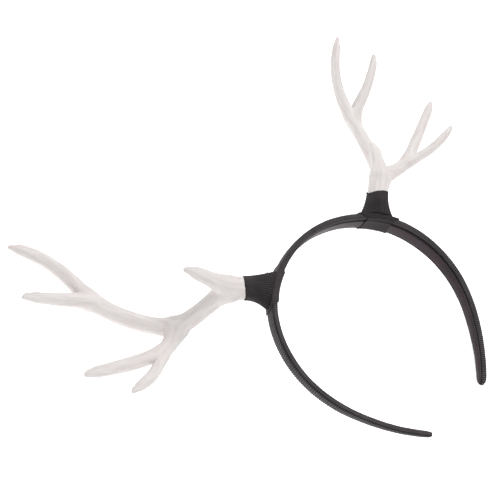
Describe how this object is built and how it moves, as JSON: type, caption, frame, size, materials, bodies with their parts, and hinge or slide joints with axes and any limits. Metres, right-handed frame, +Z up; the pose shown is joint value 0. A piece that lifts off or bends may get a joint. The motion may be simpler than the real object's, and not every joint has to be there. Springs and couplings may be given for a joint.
{
  "type": "reindeer antler headband",
  "caption": "Ribbon-covered spring headband with two branching reindeer antlers in ribbed fabric sleeves.",
  "frame": {"origin": "middle of the bounding box's footprint, at the floor", "axes": "+Z up as the headband lies on its back, +X across the head to the wearer's left, +Y to the crown of the hoop"},
  "size_m": [0.2954, 0.2118, 0.0371],
  "materials": {
    "hoop_ribbon": "ribbed black grosgrain",
    "lining_satin": "satin, purple black",
    "wrap_ribbon": "matte black ribbon",
    "sleeve_ribbon": "ribbed black grosgrain",
    "antler_plastic": "matte bone white with faint lengthwise grain"
  },
  "bodies": {
    "root": {"hoop": "hoop_ribbon", "hoop_lining": "lining_satin", "band_wrap_left": "wrap_ribbon", "band_wrap_right": "wrap_ribbon", "socket_left": "sleeve_ribbon", "socket_right": "sleeve_ribbon", "antler_left": "antler_plastic", "antler_right": "antler_plastic"}
  },
  "joints": []
}
